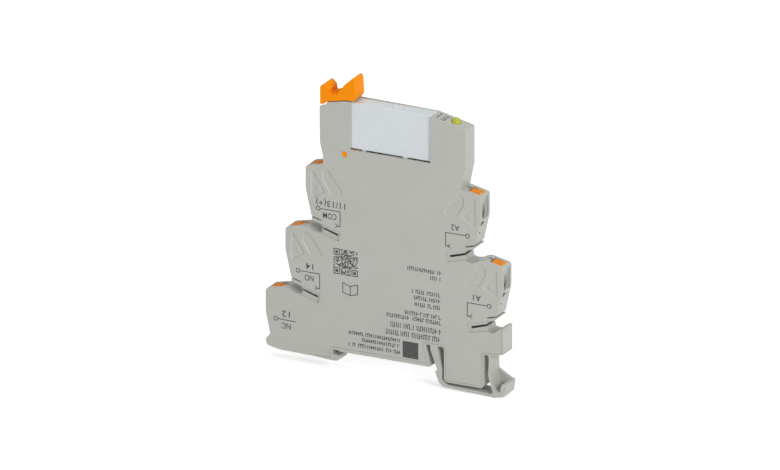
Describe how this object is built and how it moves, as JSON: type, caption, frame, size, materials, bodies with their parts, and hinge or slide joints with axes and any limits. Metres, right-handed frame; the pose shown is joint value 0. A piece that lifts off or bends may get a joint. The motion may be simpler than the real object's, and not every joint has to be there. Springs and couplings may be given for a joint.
{
  "type": "relay module",
  "caption": "Slim rail-mounted relay module with push-in terminals in steps, a plug-in relay and an ejecting lever.",
  "frame": {"origin": "middle of the seat that lies on the rail's flanges, at mid-width", "axes": "+Z away from the rail, +X along the module towards the coil terminals and the sprung foot, -Y out of the flat side with the cover"},
  "size_m": [0.0799, 0.0062, 0.0932],
  "materials": {
    "black_epoxy": "moulded epoxy",
    "board_green": "solder mask",
    "contact_brass": "rolled strip",
    "copper_wire": "enamelled wire",
    "film_yellow": "dipped",
    "grey_polyamide": "fine matt moulded",
    "led_lens": "clear tinted, polished",
    "orange_polyamide": "satin, moulded",
    "pale_plastic": "satin, moulded",
    "resistor_black": "coated",
    "soft_iron": "nickel plated",
    "spring_steel": "rolled strip",
    "tinned_copper": "tin plated",
    "varistor_blue": "dipped",
    "white_plastic": "moulded"
  },
  "bodies": {
    "housing": {"circuit_board": "board_green", "clamp_spring_a1": "spring_steel", "clamp_spring_a2": "spring_steel", "clamp_spring_com": "spring_steel", "clamp_spring_nc": "spring_steel", "clamp_spring_no": "spring_steel", "current_bar_a1": "tinned_copper", "current_bar_a2": "tinned_copper", "current_bar_com": "tinned_copper", "current_bar_nc": "tinned_copper", "current_bar_no": "tinned_copper", "diode": "black_epoxy", "housing_tray": "grey_polyamide", "indicator_chip": "black_epoxy", "led_lens": "led_lens", "rectifier": "black_epoxy", "resistor_1": "resistor_black", "resistor_2": "resistor_black", "resistor_3": "resistor_black", "series_capacitor": "film_yellow", "side_cover": "grey_polyamide", "socket_contact_1": "tinned_copper", "socket_contact_2": "tinned_copper", "socket_contact_3": "tinned_copper", "socket_contact_4": "tinned_copper", "socket_contact_5": "tinned_copper", "transistor": "black_epoxy", "varistor": "varistor_blue"},
    "lever": {"ejector_lever": "orange_polyamide"},
    "relay": {"relay_base": "pale_plastic", "relay_bobbin": "pale_plastic", "relay_break_contact": "contact_brass", "relay_coil_pins": "contact_brass", "relay_common_pin": "contact_brass", "relay_core": "soft_iron", "relay_cover": "pale_plastic", "relay_make_contact": "contact_brass", "relay_winding": "copper_wire", "relay_yoke": "soft_iron"},
    "armature": {"relay_armature": "soft_iron"},
    "card": {"relay_card": "white_plastic"},
    "moving_blade": {"relay_moving_contact": "contact_brass"},
    "pusher_com": {"pusher_com": "orange_polyamide"},
    "pusher_no": {"pusher_no": "orange_polyamide"},
    "pusher_nc": {"pusher_nc": "orange_polyamide"},
    "pusher_a2": {"pusher_a2": "orange_polyamide"},
    "pusher_a1": {"pusher_a1": "orange_polyamide"}
  },
  "joints": [
    {"name": "lever_swing", "type": "hinge", "parent": "housing", "child": "lever", "pos_m": [-0.0135, 0, 0.0628], "axis": [0, -1, 0], "range_deg": [0, 32.02]},
    {"name": "relay_lift", "type": "slide", "parent": "housing", "child": "relay", "axis": [0, 0, 1], "range_m": [0, 0.00251]},
    {"name": "push_com", "type": "slide", "parent": "housing", "child": "pusher_com", "axis": [0.213, 0, -0.977], "range_m": [0, 0.0015], "stiffness_N_per_m": 900, "springref_m": -0.0008, "deforming": ["clamp_spring_com"]},
    {"name": "push_no", "type": "slide", "parent": "housing", "child": "pusher_no", "axis": [0.213, 0, -0.977], "range_m": [0, 0.0015], "stiffness_N_per_m": 900, "springref_m": -0.0008, "deforming": ["clamp_spring_no"]},
    {"name": "push_nc", "type": "slide", "parent": "housing", "child": "pusher_nc", "axis": [0.213, 0, -0.977], "range_m": [0, 0.0015], "stiffness_N_per_m": 900, "springref_m": -0.0008, "deforming": ["clamp_spring_nc"]},
    {"name": "push_a2", "type": "slide", "parent": "housing", "child": "pusher_a2", "axis": [-0.213, 0, -0.977], "range_m": [0, 0.0015], "stiffness_N_per_m": 900, "springref_m": -0.0008, "deforming": ["clamp_spring_a2"]},
    {"name": "push_a1", "type": "slide", "parent": "housing", "child": "pusher_a1", "axis": [-0.213, 0, -0.977], "range_m": [0, 0.0015], "stiffness_N_per_m": 900, "springref_m": -0.0008, "deforming": ["clamp_spring_a1"]},
    {"name": "armature_tilt", "type": "hinge", "parent": "relay", "child": "armature", "pos_m": [-0.0008, 0, 0.0672], "axis": [0, 1, 0], "range_deg": [0, 3.2], "stiffness_Nm_per_rad": 0.05, "springref_deg": -1.15},
    {"name": "card_slide", "type": "slide", "parent": "relay", "child": "card", "axis": [1, 0, 0], "range_m": [0, 0.0005867]},
    {"name": "blade_bend", "type": "hinge", "parent": "relay", "child": "moving_blade", "pos_m": [-0.0052, 0, 0.0672], "axis": [0, 1, 0], "range_deg": [0, 3.2]}
  ],
  "couplings": [
    {"joint": "lever_swing", "follows": "relay_lift", "rad_per_m": 222.22},
    {"joint": "card_slide", "follows": "armature_tilt", "m_per_rad": 0.0105},
    {"joint": "blade_bend", "follows": "armature_tilt", "ratio": 1}
  ]
}
